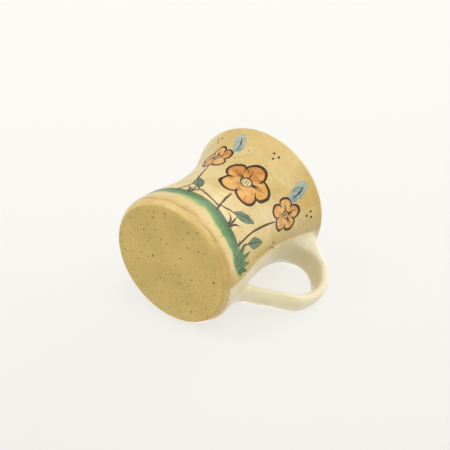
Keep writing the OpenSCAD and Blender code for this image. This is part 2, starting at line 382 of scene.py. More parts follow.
# the line between cream and amber: a turn that closes in towards the rim
edge_at = g.ramp(z, 0.01, 0.058, math.radians(28.4), math.radians(25), smooth=False)
edge_at = g.math("ADD", edge_at, g.ramp(z, 0.055, 0.072, 0.0, math.radians(-2.8)))
past = g.math("SUBTRACT", g.strayed(aside, g.noise(g.at, 70.0, 3.0), 0.05), edge_at)
cream = g.times(g.fall(past, -0.02, 0.02), g.ramp(g.strayed(z, cloud, 0.002), 0.0028, 0.004))

# amber, thin and deep in clouds
amber = g.mix(g.ramp(cloud, 0.3, 0.7), colour(215, 183, 108), colour(230, 204, 136))
thin = g.times(g.ramp(lap, 0.5, 0.62), g.strip(z, 0.012, 0.03, 0.07, 0.084))
amber = g.tint(amber, thin, 0.55, 234, 215, 162)
amber = g.tint(amber, g.fall(lap, 0.36, 0.46), 0.5, 208, 178, 106)
amber = g.tint(amber, g.ramp(fine, 0.5, 0.8), 0.35, 218, 188, 118)
amber = g.tint(amber, g.ramp(mottle, 0.52, 0.66), 0.3, 206, 192, 120)
amber = g.tint(amber, g.fall(mottle, 0.34, 0.46), 0.35, 228, 190, 132)

# near the rim a second dip of glaze lies over the first, in patches
patches = g.times(g.ramp(broad, 0.52, 0.56, 0.0, 0.6), g.ramp(z, 0.052, 0.08))
beside = g.math("ABSOLUTE", g.math("ADD", g.strayed(turn, cloud, 0.1), 0.95))
lapped = g.times(g.fall(beside, 0.17, 0.2), g.ramp(g.strayed(z, cloud, 0.005), 0.068, 0.07))
amber = g.tint(amber, g.math("MAXIMUM", patches, lapped), 0.7, 216, 178, 94)
# painted shade: the amber darkened along the top of the rim, most towards the cream panel
rim_painted_shade = g.times(g.ramp(z, 0.081, 0.087), g.fall(past, 0.2, 1.0, 0.55))
amber = g.mix(rim_painted_shade, amber, colour(198, 166, 92))

# on the foot, a light strip over pooled ochre that was wiped with a sponge
amber = g.tint(amber, g.strip(z, 0.0055, 0.0075, 0.0095, 0.014), 0.4, 232, 212, 152)
ochre = g.mix(g.ramp(streaks, 0.4, 0.62), colour(228, 200, 124), colour(214, 178, 98))
# the ochre darker on the foot towards the cream panel on each side: partly pooled glaze, partly painted shade
ochre_pool_and_painted_shade = g.times(g.ramp(past, 0.2, 0.45, 0.35, 0.75), g.fall(past, 0.5, 0.9))
ochre = g.mix(ochre_pool_and_painted_shade, ochre, colour(186, 152, 78))
amber = g.mix(g.times(g.fall(z, 0.0028, 0.0058), 0.85), amber, ochre)
wiped = g.times(g.ramp(g.noise(brushed, 620.0, 3.0, 0.6), 0.5, 0.64), g.strip(z, 0.001, 0.002, 0.007, 0.011))
amber = g.tint(amber, wiped, 0.5, 222, 172, 104)
lines = g.times(g.strip(z, 0.003, 0.0038, 0.0044, 0.0056), g.ramp(streaks, 0.44, 0.6))
amber = g.tint(amber, lines, 0.55, 184, 146, 86)

# cream, with painted shade: a little darker in the corners behind the handle, where the handle shades the
# wall
pale = g.mix(g.ramp(cloud, 0.3, 0.7), colour(231, 217, 171), colour(242, 231, 194))
corner = g.times(g.fall(aside, 0.14, 0.34), g.fall(z, 0.06, 0.074))
pale_painted_shade = g.mix(g.math("MULTIPLY_ADD", corner, 0.3, 0.3), pale, colour(208, 194, 150))
tone = g.mix(cream, amber, pale_painted_shade)
seam = g.times(g.fall(g.math("ABSOLUTE", past), 0.0, 0.05), g.ramp(z, 0.005, 0.012))
tone = g.tint(tone, seam, 0.4, 196, 166, 104)
near_panel = g.times(g.fall(past, 0.0, 0.4), g.ramp(past, -0.02, 0.0))
beige = g.mix(g.ramp(z, 0.052, 0.07), colour(198, 168, 90), colour(202, 181, 126))
tone = g.mix(g.times(near_panel, 0.75), tone, beige)

# specks show through the amber, and hardly through the cream
specks = g.use("iron_specks", Place=flat)
shown = g.math("MULTIPLY_ADD", cream, -0.85, 1.0)
tone = g.mix(g.times(g.times(specks["Small"], 0.3), shown), tone, colour(164, 126, 66))
rare = g.times(g.ramp(g.noise(g.at, 30.0, 1.0), 0.45, 0.6), 0.8)
tone = g.mix(g.times(g.times(specks["Large"], rare), shown), tone, colour(112, 80, 42))
g.feed(Color=tone, Pale=pale)


def glazed(name, tone_of, gloss=0.5, coat=0.2):
    """A glossy fired glaze with its own colours and a faintly rippled face."""
    mat, n = material(name, IOR=1.5, Specular_IOR_Level=gloss, Coat_Weight=coat, Coat_Roughness=0.15)
    ripple = n.noise(n.at, 140.0, 2.0, 0.5)
    height = n.math("MULTIPLY_ADD", n.noise(n.at, 1500.0, 2.0, 0.5), 0.12, ripple)
    n.feed(Base_Color=tone_of(n), Roughness=n.ramp(ripple, 0.3, 0.7, 0.3, 0.42),
           Normal=n.bump(height, 0.12, 0.0005))
    return mat


wall_glaze = glazed("wall_glaze", lambda n: n.use("wall_glaze")["Color"])

# The coats' lower edge rolls in over the bare clay, as (height, depth).
toe = [skin_point(BARE_H + h, depth)[0] for h, depth in (
    (TOE_H, COAT_T), (0.0, FLUSH + 0.06), (0.25, FLUSH - 0.02), (0.5, 0.01))]
coat = np.vstack([toe, skin(0, BARE_H + 0.8), lip(0, -RIM_LEAN, 90)[1:], lip(COAT_T, 90, -RIM_LEAN),
                  skin(COAT_T, BARE_H + 0.4)[:-1][::-1]])
PANEL = math.radians(54)
for name, slot, node, start, sweep, columns in (
        ("amber_glaze_coat", "amber_glaze", "amber_glaze", PANEL / 2, 2 * math.pi - PANEL, 218),
        ("cream_glaze_panel", "cream_glaze", "pale_glaze_panel", -PANEL / 2, PANEL, 38)):
    mesh_piece(name, *turned(coat, columns, start, sweep, closed=True), slot, wall_glaze, node)


# liner_glaze
# The coat inside the cup, poured in and out again: a warm honey cream that
# thins at the lip and pools a little darker round the floor.

def liner_tone(n):
    z, flat = unrolled(n)[1:]
    tone = n.mix(n.ramp(n.noise(n.at, 60.0, 4.0), 0.3, 0.7), colour(226, 203, 150), colour(238, 221, 178))
    waver = n.math("MULTIPLY_ADD", n.noise(n.at, 40.0, 2.0), 0.003, z)
    throwing_rings = n.ramp(n.math("SINE", n.times(waver, 1250.0)), 0.0, 1.0)
    tone = n.tint(tone, throwing_rings, 0.22, 206, 180, 124)
    tone = n.tint(tone, n.use("iron_specks", Place=flat)["Small"], 0.35, 150, 116, 64)
    return n.mix(n.fall(z, 0.006, 0.02), tone, colour(208, 180, 118))


liner = np.vstack([lip(0, 90, 180 - RIM_LEAN)[:-1], hollow(WALL_T, FLOOR_T)])
back = np.vstack([hollow(WALL_T - COAT_T, FLOOR_T - COAT_T)[::-1], lip(COAT_T, 180 - RIM_LEAN, 90)[1:]])
mesh_piece("liner_glaze_coat", *spare_points(*turned(np.vstack([liner, back]), closed=True)), "liner_glaze",
           glazed("liner_glaze", liner_tone), "liner_glaze")


# handle_strap, upper_luted_joint and lower_luted_joint
# A strap pulled from a lug of clay, wide where it leaves the rim and narrower
# below, bent over and pressed on. The cream coat runs over the strap and the
# smoothed clay of both joints in one skin.

UPPER_H, RISE, START_L = 79.2, 10.0, 4.8
CROOK_R, CROOK, HEEL_R, HEEL = 19.8, 99.0, 24.7, 50.0
STRAP_T, STRAP_TOP_W, STRAP_W, JOINT_L, FLARE = 6.8, 21.0, 13.2, 7.0, 2.6
ASIDE = 0.4       # the strap was pressed on a little off the middle
ROUNDED = 0.84    # its section: 1 is an ellipse, and less is boxier
RING = 88         # points round it


def ahead_at(a):
    return np.array([math.cos(math.radians(a)), math.sin(math.radians(a))])


def left_of(a):
    return np.array([-math.sin(math.radians(a)), math.cos(math.radians(a))])


start_at = np.array([radius_at(UPPER_H, WALL_T / 2), UPPER_H])
crook_mid = start_at + START_L * ahead_at(RISE) - CROOK_R * left_of(RISE)
heel_mid = crook_mid + (CROOK_R - HEEL_R) * left_of(RISE - CROOK)
leg_way = RISE - CROOK - HEEL
heel_end = heel_mid + HEEL_R * left_of(leg_way)
crook_l, heel_l = CROOK_R * math.radians(CROOK), HEEL_R * math.radians(HEEL)
leg_l = (heel_end[0] - WAIST_R + WALL_T / 2) / -ahead_at(leg_way)[0]
STRAP_L = START_L + crook_l + heel_l + leg_l


def strap_at(d):
    """The middle line's point and direction, in degrees, at a length from the upper end."""
    if d < START_L:
        return start_at + d * ahead_at(RISE), RISE
    d -= START_L
    if d < crook_l:
        a = RISE - CROOK * d / crook_l
        return crook_mid + CROOK_R * left_of(a), a
    d -= crook_l
    if d < heel_l:
        a = RISE - CROOK - HEEL * d / heel_l
        return heel_mid + HEEL_R * left_of(a), a
    return heel_end + (d - heel_l) * ahead_at(leg_way), leg_way


def ring_turns():
    return 2 * math.pi * np.arange(RING) / RING


def squared(wave, power):
    """A sine or cosine drawn out towards a box, by a power below 1."""
    return np.sign(wave) * np.abs(wave) ** power


def section(d):
    """The ring of points round the strap at a length, the first ones on its outer side."""
    top, end = WALL_T / 2 + JOINT_L, STRAP_L - WALL_T / 2 - JOINT_L
    flare = FLARE * (np.clip((top - d) / top, 0, 1) ** 2 + np.clip((d - end) / (STRAP_L - end), 0, 1) ** 2)
    t = np.clip(d / (0.5 * STRAP_L), 0, 1)
    wide = STRAP_TOP_W + (STRAP_W - STRAP_TOP_W) * t * t * (3 - 2 * t) + 2 * flare
    thick = STRAP_T + 2 * flare
    middle, a = strap_at(d)
    u = thick / 2 * squared(np.cos(ring_turns()), ROUNDED)
    v = wide / 2 * squared(np.sin(ring_turns()), ROUNDED) + ASIDE
    return np.column_stack([middle[0] + u * left_of(a)[0], v, middle[1] + u * left_of(a)[1]])


def on_wall(u, v, turn, height, lift):
    """Points on the outer glaze, u mm to the right of a place on it and v mm up, seen from outside."""
    u, v, lift = np.broadcast_arrays(np.asarray(u, float), np.asarray(v, float), np.asarray(lift, float))
    z = height + v
    r = radius_at(z)
    a = np.radians(turn) + u / r
    slope = (radius_at(z + 0.2) - radius_at(z - 0.2)) / 0.4
    out = np.stack([np.cos(a), np.sin(a), -slope], -1) / np.sqrt(1 + slope ** 2)[..., None]
    base = np.stack([r * np.cos(a), r * np.sin(a), z], -1)
    dip = wobble(base.reshape(-1, 3)).reshape(z.shape)[..., None]
    return base - dip * np.stack([np.cos(a), np.sin(a), 0 * a], -1) + lift[..., None] * out


def root(d, foot_d, toward_wall, above, below, near, far, pulls, wall_pulls, steps=14):
    """Rings that leave the strap at a length d and run out smoothly on the wall round the length foot_d.

    above, below, near and far say how far they reach on the wall, in mm, and the
    pulls, in that order, how long they keep the strap's and the wall's directions.
    """
    edge = section(d)
    a = strap_at(d)[1]
    run = toward_wall * np.array([ahead_at(a)[0], 0, ahead_at(a)[1]])
    hit = strap_at(foot_d)[0][1]
    turn = ring_turns()
    power = np.where(np.sin(turn) > 0, 0.9, 0.72)
    rise = squared(np.cos(turn), power) * (1 if left_of(a)[1] > 0 else -1)
    side = squared(np.sin(turn), power)
    v = np.where(rise > 0, above, below) * rise
    u = np.where(side > 0, far, near) * side
    ends = on_wall(u, v, 0, hit, 0.0)
    past = on_wall(u * 1.06, v * 1.06, 0, hit, 0.0)
    away = (past - ends) / np.linalg.norm(past - ends, axis=1)[:, None]
    sunk = on_wall(u * 1.04, v * 1.04, 0, hit, -0.25)
    gap = np.linalg.norm(ends - edge, axis=1)[:, None]
    upright = (rise ** 2)[:, None]

    def shared(p):
        up_down, near_far = np.where(rise > 0, p[0], p[1]), np.where(side > 0, p[3], p[2])
        return gap * (up_down[:, None] * upright + near_far[:, None] * (1 - upright))

    leave, land = edge + shared(pulls) * run, ends - shared(wall_pulls) * away
    rings = []
    for k in range(1, steps + 1):
        t = k / steps
        rings.append((1 - t) ** 3 * edge + 3 * t * (1 - t) ** 2 * leave
                     + 3 * t * t * (1 - t) * land + t ** 3 * ends)
    return rings + [sunk]


UPPER_ROOT_L, LOWER_ROOT_L = 16.5, 8.5
first, last = WALL_T / 2 + UPPER_ROOT_L, STRAP_L - WALL_T / 2 - LOWER_ROOT_L
upper_root = root(first, WALL_T / 2, -1, above=8.8, below=20.0, near=16.2, far=17.0,
                  pulls=(0.08, 0.26, 0.14, 0.34), wall_pulls=(0.1, 0.6, 0.24, 0.34))
lower_root = root(last, STRAP_L - WALL_T / 2, 1, above=8.2, below=12.5, near=11.6, far=11.6,
                  pulls=(0.42,) * 4, wall_pulls=(0.42,) * 4)
loops = upper_root[::-1] + [section(d) for d in np.linspace(first, last, 120)] + lower_root
points = np.vstack(loops)
# rings from the nearer end: the strap's lumps fade out over the last 20, and
# the wall's own colours come in over the last 9
from_end = np.minimum(np.arange(len(loops)), np.arange(len(loops))[::-1])
lumps = (0.10 * np.sin(points[:, 0] / 5.1 + points[:, 2] / 7.3)
         + 0.06 * np.sin(points[:, 2] / 2.9 + points[:, 1] / 3.1))
middle = np.repeat([np.mean(loop, axis=0) for loop in loops], RING, axis=0)
strength = np.clip(from_end / 20, 0, 1).repeat(RING)
points = points + (middle - points) * ((lumps + 0.08) * strength / STRAP_W * 2)[:, None]
faces = [[(k + 1) * RING + i, (k + 1) * RING + (i + 1) % RING, k * RING + (i + 1) % RING, k * RING + i]
         for k in range(len(loops) - 1) for i in range(RING)]
faces += [list(range(RING)), [(len(loops) - 1) * RING + i for i in range(RING)][::-1]]
foot = np.clip(1 - from_end / 9, 0, 1).repeat(RING)
# painted shade: 1 over the strap's inner side, which faces into the loop, fading out round its edges
inner = np.tile(np.clip(-1.3 * np.cos(ring_turns()), 0, 1), len(loops))


def handle_tone(n):
    """The strap's cream, with a painted highlight that whitens its upper part and painted shade that darkens
    and yellows it inside the loop, and the wall's own colours at each root's foot.
    """
    glaze = n.use("wall_glaze")
    z = n.add("SeparateXYZ", ins={0: n.at}).node.outputs[2]
    # painted highlight: the strap's cream whitened towards its top
    strap = n.mix(n.ramp(z, 0.035, 0.055, 0.0, 0.4), glaze["Pale"], colour(244, 236, 210))
    # painted shade: the strap darker and yellower on its inner side
    strap = n.tint(strap, n.value("inner"), 0.5, 212, 194, 142)
    return n.mix(n.ramp(n.value("foot"), 0.2, 0.9), strap, glaze["Color"])


mesh_piece("cream_glazed_handle", points, faces, "cream_glaze", glazed("handle_glaze", handle_tone),
           "handle_strap", "upper_luted_joint", "lower_luted_joint", values={"foot": foot, "inner": inner})


# green_band, orange_flowers, green_leaves and blue_dabs
# Slip colours laid on with soft brushes before the last firing: washes with
# wet, uneven edges and, over them, dark brown lines that swell and thin with
# the brush. Each stroke is a thin raised skin whose rim sinks into the glaze.

rng = np.random.default_rng(7)


def smooth_through(x, y, t):
    """A smooth curve through values y at x."""
    if len(x) < 3:
        return np.interp(t, x, y)
    slope = np.gradient(y, x)
    i = np.clip(np.searchsorted(x, t, side="right") - 1, 0, len(x) - 2)
    h = x[i + 1] - x[i]
    w = (t - x[i]) / h
    return ((2 * w ** 3 - 3 * w ** 2 + 1) * y[i] + (w ** 3 - 2 * w ** 2 + w) * h * slope[i]
            + (-2 * w ** 3 + 3 * w ** 2) * y[i + 1] + (w ** 3 - w ** 2) * h * slope[i + 1])


def drift_line(steps, waves):
    """A smooth random line between about -1 and 1."""
    knots = rng.uniform(-1, 1, waves + 2)
    return smooth_through(np.linspace(0, 1, waves + 2), knots, np.linspace(0, 1, steps))


def drift_ring(steps, waves):
    """The same round a closed line."""
    a = np.linspace(0, 2 * math.pi, steps, endpoint=False)
    out = np.zeros(steps)
    for k in range(2, waves + 2):
        out += rng.uniform(-1, 1) / k * np.sin(k * a + rng.uniform(0, 2 * math.pi))
    return out


def round_line(steps):
    a = np.linspace(0, 2 * math.pi, steps, endpoint=False)
    return np.column_stack([np.cos(a), np.sin(a)])


def spun(points, tilt):
    c, s = math.cos(math.radians(tilt)), math.sin(math.radians(tilt))
    return points @ np.array([[c, s], [-s, c]])


class Painting:
    """The strokes of one colour, gathered into one piece.

    Every point carries its place across the stroke, 0 in the middle and 1 at the
    edge, and a tone that says how much colour the brush held.
    """
    across = np.array([-1, -0.82, -0.5, 0, 0.5, 0.82, 1])
    profile = np.array([-0.12, 0.55, 0.9, 1.0, 0.9, 0.55, -0.12])

    def __init__(self):
        self.points, self.faces, self.edge, self.tone = [], [], [], []
        self.count = 0

    def skin(self, grid, edge, tone):
        """One stroke: a (row, column, xyz) grid that lies on the wall with its rim just under it."""
        rows, cols = grid.shape[:2]
        index = self.count + np.arange(rows * cols).reshape(rows, cols)
        quads = np.stack([index[:-1, :-1], index[1:, :-1], index[1:, 1:], index[:-1, 1:]], -1)
        self.points.append(grid.reshape(-1, 3))
        self.faces.append(quads.reshape(-1, 4))
        self.edge.append(np.broadcast_to(edge, (rows, cols)).ravel())
        self.tone.append(np.broadcast_to(tone, (rows, cols)).ravel())
        self.count += rows * cols

    def stroke(self, turn, height, path, width, lift=0.06, tone=None, steps=48, shake=0.08):
        """A brush line through a few (u, v) points; width is a list of widths along it, in mm."""
        path = np.array(path, float)
        along, t = np.linspace(0, 1, len(path)), np.linspace(0, 1, steps)
        line = np.stack([smooth_through(along, path[:, k], t) for k in (0, 1)], 1)
        wide = 1.2 * smooth_through(np.linspace(0, 1, len(width)), np.array(width, float), t)
        uneven = 1 + shake * drift_line(steps, 5) + 0.6 * shake * drift_line(steps, 16)
        wide = np.maximum(wide, 0.0) * uneven
        line += 0.10 * np.stack([drift_line(steps, 6), drift_line(steps, 6)], 1)
        ahead = np.gradient(line, axis=0)
        ahead /= np.linalg.norm(ahead, axis=1)[:, None]
        side = np.column_stack([-ahead[:, 1], ahead[:, 0]])
        uv = line[:, None] + self.across[None, :, None] * side[:, None] * wide[:, None, None] / 2
        tone = rng.uniform(0.2, 0.8) if tone is None else tone
        fade = np.clip(tone + 0.25 * drift_line(steps, 7), 0, 1)
        self.skin(on_wall(uv[..., 0], uv[..., 1], turn, height, lift * self.profile[None, :]),
                  np.abs(self.across)[None, :], fade[:, None])

    def wash(self, turn, height, rim, lift=0.05, rings=14, centre=(0.0, 0.0)):
        """A filled shape: rim is a closed line of (u, v) points round its centre."""
        rim = np.vstack([rim, rim[:1]])
        f = np.linspace(0, 1, rings) ** 0.8
        uv = np.array(centre) + f[:, None, None] * (rim - centre)[None]
        rise = np.interp(f, [0, 0.86, 0.96, 1], [lift, lift, 0.5 * lift, -0.015])
        self.skin(on_wall(uv[..., 0], uv[..., 1], turn, height, rise[:, None]),
                  f[:, None], rng.uniform(0.2, 0.8))

    def piece(self, name, slot, mat, *nodes):
        mesh_piece(name, np.vstack(self.points), np.vstack(self.faces), slot, mat, *nodes,
                   values={"edge": np.concatenate(self.edge), "tone": np.concatenate(self.tone)})


def painted_slip(name, deep, mid, thin, soft, streak=0.5):
    """A wash under the glaze: uneven, deeper at its wet edge, then feathered into the glaze round it."""
    def tone_of(n):
        edge, tone = n.value("edge"), n.value("tone")
        cloud = n.noise(n.at, 160.0, 4.0, 0.65, 0.6)
        grain = n.noise(n.at, 1100.0, 2.0, 0.6)
        load = n.ramp(n.math("ADD", n.times(cloud, 1.0 + streak), n.times(tone, 0.55)), 0.55, 1.35)
        wash = n.mix(load, colour(*thin), colour(*mid))
        wash = n.mix(n.ramp(load, 0.55, 1.0), wash, colour(*deep))
        wash = n.tint(wash, n.strip(edge, 0.72, 0.9, 0.93, 1.0), 0.35, *deep)
        wash = n.tint(wash, n.ramp(grain, 0.55, 0.75), 0.18, *thin)
        feather = n.ramp(n.strayed(edge, cloud, soft), 0.97 - soft * 0.35, 1.0)
        return n.mix(feather, wash, n.use("wall_glaze")["Color"])
    return glazed(name, tone_of)


def band_tone(n):
    """Long overlapping strokes: thin yellow green below, deep green above."""
    edge, tone = n.value("edge"), n.value("tone")
    streaks = n.noise(n.stretched(0.3, 2.2), 260.0, 4.0, 0.65)
    load = n.strayed(n.strayed(tone, streaks, 1.0), n.noise(n.at, 60.0, 3.0, 0.6), 0.5)
    wash = n.mix(n.ramp(load, 0.0, 0.22), colour(208, 204, 124), colour(166, 182, 104))
    wash = n.mix(n.ramp(load, 0.16, 0.36), wash, colour(96, 140, 76))
    wash = n.mix(n.ramp(load, 0.36, 0.66), wash, colour(56, 112, 42))
    wash = n.mix(n.ramp(load, 0.66, 1.0), wash, colour(36, 86, 28))
    under = n.fall(n.math("MULTIPLY_ADD", streaks, 0.7, tone), 0.36, 0.52)
    rim = n.ramp(n.strayed(edge, streaks, 0.1), 0.96, 1.0)
    return n.mix(n.math("MAXIMUM", under, rim), wash, n.use("wall_glaze")["Color"])


def line_tone(n):
    """Dark brown, thinner in places, with a soft edge."""
    edge, tone = n.value("edge"), n.value("tone")
    cloud = n.noise(n.at, 300.0, 3.0, 0.6)
    load = n.math("MULTIPLY_ADD", tone, 0.6, cloud)
    line = n.mix(n.ramp(load, 0.5, 1.1), colour(76, 56, 32), colour(34, 20, 8))
    return n.mix(n.ramp(n.strayed(edge, cloud, 0.3), 0.72, 1.0), line, n.use("wall_glaze")["Color"])


orange_slip = painted_slip("orange_slip", (200, 126, 34), (222, 154, 58), (238, 188, 100), soft=0.12)
green_slip = glazed("green_slip", band_tone)
leaf_slip = painted_slip("dark_green_slip", (44, 80, 38), (64, 102, 54), (104, 132, 80), soft=0.16)
blue_slip = painted_slip("blue_slip", (120, 144, 146), (150, 169, 162), (188, 196, 176), soft=0.45)
dark_slip = glazed("dark_line_slip", line_tone, gloss=0.25, coat=0.0)

petals, lines, band, leaves, dabs = Painting(), Painting(), Painting(), Painting(), Painting()

# The same sizes and places as in the solids, in mm and in degrees round the wall.
FLOWER_D, FLOWER_TURN, FLOWER_H = 30.0, -94, 53
BUD_D, BUD_H, BUD_GAP, BACK_TURN = 19.0, 64, 3.0, 98
LEAF_L, LEAF_W, LEAF_H = 17.0, 7.1, 33
LEAF_PLACES = ((-124, 128), (-70, 40), (-45, 66), (76, 50), (122, 130))
DAB_L, DAB_W, DAB_H, DAB_TILT, DAB_GAP = 14.0, 8.4, 77, -14, 0.8
flower_half = math.asin(FLOWER_D / 2 / WAIST_R)
bud_turn = math.degrees(flower_half + math.asin((BUD_D / 2 + BUD_GAP) / WAIST_R))
dab_half = math.hypot(DAB_W * math.cos(math.radians(DAB_TILT)), DAB_L * math.sin(math.radians(DAB_TILT))) / 2
dab_turn = math.degrees(flower_half + math.asin((dab_half + DAB_GAP) / WAIST_R))


def dot(turn, height, u, v, r):
    """A touch of the brush's tip."""
    rim = (r * (1 + 0.2 * drift_ring(16, 3)))[:, None] * round_line(16) + (u, v)
    lines.wash(turn, height, rim, rings=5, centre=(u, v))


def flower(turn, height, d, start, line_w):
    """Five round petals washed in orange, then outlined with loose dark strokes."""
    reach, size = 0.3 * d, 0.2 * d
    for k in range(5):
        a = start + 2 * math.pi * k / 5 + rng.uniform(-0.05, 0.05)
        mid = reach * np.array([math.cos(a), math.sin(a)])
        b = np.linspace(0, 2 * math.pi, 56, endpoint=False)
        swell = size * (1.02 + 0.10 * drift_ring(56, 4))
        rim = mid + swell[:, None] * round_line(56)
        # the petal narrows towards the flower's middle
        pull = np.clip(-np.cos(b - a), 0, 1) ** 2 * 0.75
        rim = rim + pull[:, None] * (0.25 * mid - rim) * 0.55
        petals.wash(turn, height, rim, lift=0.045 + 0.004 * k, centre=tuple(mid * 0.95))
        out = np.linspace(a - 2.15, a + 2.1, 9)
        bulge = size * (1.05 + 0.07 * rng.uniform(-1, 1, 9))
        ring = bulge[:, None] * np.column_stack([np.cos(out), np.sin(out)])
        lines.stroke(turn, height, mid + ring, line_w * np.array([0.35, 0.95, 1.1, 0.8, 0.3]), steps=60)
        for off, length in ((-0.16, 0.30), (0.17, 0.36), (0.0, 0.42)):
            if rng.uniform() < 0.8:
                c = a + off
                vein = [(0.13 * d * math.cos(c), 0.13 * d * math.sin(c)),
                        (length * d * math.cos(c + 0.05), length * d * math.sin(c + 0.05))]
                lines.stroke(turn, height, vein, [0.55 * line_w, 0.4 * line_w, 0.1], steps=20)
    for k in range(8):
        r = 0.085 * d * math.sqrt(k / 8)
        dot(turn, height, r * math.cos(2.4 * k), r * math.sin(2.4 * k), 0.5)
    a = np.linspace(0, 2 * math.pi * 1.04, 12)
    lines.stroke(turn, height, 0.115 * d * np.column_stack([np.cos(a), np.sin(a)]),
                 line_w * np.array([0.4, 0.5, 0.3]), steps=50)


def leaf(turn, tilt):
    """A pointed leaf with a dark rib."""
    t = np.linspace(0, 1, 30)
    half = LEAF_W / 2 * np.sin(math.pi * t) ** 0.9 * (1 - 0.25 * (t - 0.4))
    up = np.column_stack([(t - 0.5) * LEAF_L, half * (1 + 0.06 * drift_line(30, 5))])
    down = np.column_stack([(t - 0.5) * LEAF_L, -half * (1 + 0.06 * drift_line(30, 5))])[::-1][1:-1]
    leaves.wash(turn, LEAF_H, spun(np.vstack([up, down])[::-1], tilt))
    rib = spun(np.array([(-0.56 * LEAF_L, 0.0), (-0.1 * LEAF_L, 0.35), (0.44 * LEAF_L, 0.0)]), tilt)
    lines.stroke(turn, LEAF_H, rib, [0.8, 0.9, 0.2], steps=30)


def dab(turn):
    """A loose grey-blue dab of three overlapping touches with a dark dash."""
    for k, (du, dv, f) in enumerate(((-0.16, 0.22, 0.62), (0.05, -0.02, 0.7), (0.2, -0.26, 0.55))):
        size = 1 + 0.16 * drift_ring(48, 4)
        touch = size[:, None] * round_line(48) * [DAB_W / 2 * (0.7 + 0.3 * f), DAB_L / 2 * f]
        centre = np.array([du * DAB_W, dv * DAB_L])
        dabs.wash(turn, DAB_H, spun(touch, DAB_TILT) + centre, lift=0.04 + 0.006 * k, centre=centre)
    dash = [(-0.1 * DAB_W, 0.3 * DAB_L), (0.16 * DAB_W, -0.02 * DAB_L), (0.2 * DAB_W, -0.42 * DAB_L)]
    lines.stroke(turn, DAB_H, dash, [0.3, 1.3, 0.2], steps=30)


# The band runs round the wall from one side of the handle to the other, higher
# in two mounds, and sinks at its ends.
BAND_LOW, BAND_TOP = 9.8, 15.8
turns = np.arange(32, 329, 0.75)
n_turns = len(turns)
ends_low = np.exp(-((turns - 322) / 22) ** 2) + np.exp(-((turns - 38) / 22) ** 2)
low_edge = BAND_LOW - 1.8 * ends_low + 0.7 * drift_line(n_turns, 14) + 0.3 * drift_line(n_turns, 60)
mounds = 5.4 * np.exp(-((turns - 260) / 40) ** 2) + 4.2 * np.exp(-((turns - 98) / 42) ** 2)
top_edge = BAND_TOP + mounds + 0.5 * drift_line(n_turns, 12) + 0.3 * drift_line(n_turns, 46)
ends = np.clip(np.minimum(np.arange(n_turns), np.arange(n_turns)[::-1]) / 14, 0, 1) ** 0.5
f = np.linspace(-1, 1, 21)
z = (low_edge + top_edge)[:, None] / 2 + f[None] * (ends * (top_edge - low_edge))[:, None] / 2
load = 0.5 + 0.55 * f[None] + 0.4 * ends_low[:, None] + 0.12 * drift_line(n_turns, 24)[:, None]
band.skin(on_wall(0, z, turns[:, None], 0, (0.05 * (1 - np.abs(f) ** 8) - 0.012)[None]),
          np.abs(f)[None], np.clip(load, 0, 1.1))

# broad blades of grass at each end of the band, as (turn, length, lean)
BLADES = ((-52, 8.5, -0.5), (-48.5, 12.5, -0.2), (-44, 15, 0.05),
          (-40, 12, 0.3), (-36.5, 8.5, 0.6), (-46, 10, -0.35))
for side in (-1, 1):
    for k, (turn, l, lean) in enumerate(BLADES):
        tip = -side * l * math.sin(lean)
        blade = [(0, -1.4), (0.25 * tip, 0.45 * l), (tip, l)]
        band.stroke(-side * turn, 11.5, blade, [1.0, 3.0, 2.8, 1.8, 0.2],
                    lift=0.05 + 0.012 * (k % 3), tone=(0.6, 0.95, 0.72)[k % 3], steps=40)

flower(FLOWER_TURN, FLOWER_H, FLOWER_D, math.pi / 10, 2.0)
flower(FLOWER_TURN - bud_turn, BUD_H, BUD_D, math.pi / 10 + 0.2, 1.5)
flower(FLOWER_TURN + bud_turn, BUD_H, BUD_D, math.pi / 10 - 0.1, 1.5)
flower(BACK_TURN, BUD_H, BUD_D, math.pi / 10, 1.5)
for turn, tilt in LEAF_PLACES:
    leaf(turn, tilt)
for turn in (FLOWER_TURN - dab_turn, FLOWER_TURN + dab_turn, 76, 122):
    dab(turn)

# stems from the ground up to each flower and leaf
for turn, height, path in (
        (FLOWER_TURN, FLOWER_H, [(3.4, -34.5), (1.9, -28), (0.5, -21), (0, -14.5)]),
        (FLOWER_TURN, FLOWER_H, [(1.6, -28.8), (5, -27.6), (8.4, -25.3)]),
        (FLOWER_TURN, FLOWER_H, [(2.4, -30.6), (-3.5, -29.4), (-9, -28.2), (-13.6, -26.6)]),
        (FLOWER_TURN - bud_turn, BUD_H, [(8, -47.5), (8.2, -34), (3.5, -22), (0, -9.2)]),
        (FLOWER_TURN + bud_turn, BUD_H, [(-5, -48), (-4.6, -34), (-2.6, -20), (0, -9.2)]),
        (BACK_TURN, BUD_H, [(3, -45.5), (4, -32), (2, -20), (0, -9.2)]),
        (76, LEAF_H, [(-7.5, -16), (-7.2, -10), (-5.4, -6.4)]),
        (-45, LEAF_H, [(-3.2, -17), (-4.6, -12.5), (-3.7, -8.2)]),
        (122, LEAF_H, [(7.5, -16.4), (7.2, -10), (5.4, -6.4)])):
    lines.stroke(turn, height, path, [1.3, 1.0, 1.3, 0.7], tone=0.3, steps=60)

# tufts of three dark blades, and sets of three dots on the open wall
for turn, height in ((-118, 20), (-73, 19.2), (-158, 16), (98, 19.4), (136, 17), (58, 16.4)):
    for lean in (-0.7, -0.1, 0.5):
        l = 9.5 - 3.4 * abs(lean) + rng.uniform(-0.6, 0.6)
        from_u = 1.5 * lean
        blade = [(from_u, -1.6), (from_u + 0.5 * l * math.sin(0.4 * lean), 0.45 * l),
                 (from_u + l * math.sin(lean), l * math.cos(lean))]
        lines.stroke(turn, height, blade, [0.9, 1.2, 0.2], steps=30)
for turn, height in ((-94, 79), (-152, 81), (-38, 80), (-27, 50), (98, 79), (148, 70), (54, 68)):
    for k in range(3):
        a = 2.1 * k + 0.5
        dot(turn, height, 2.1 * math.cos(a), 1.9 * math.sin(a), 0.85)

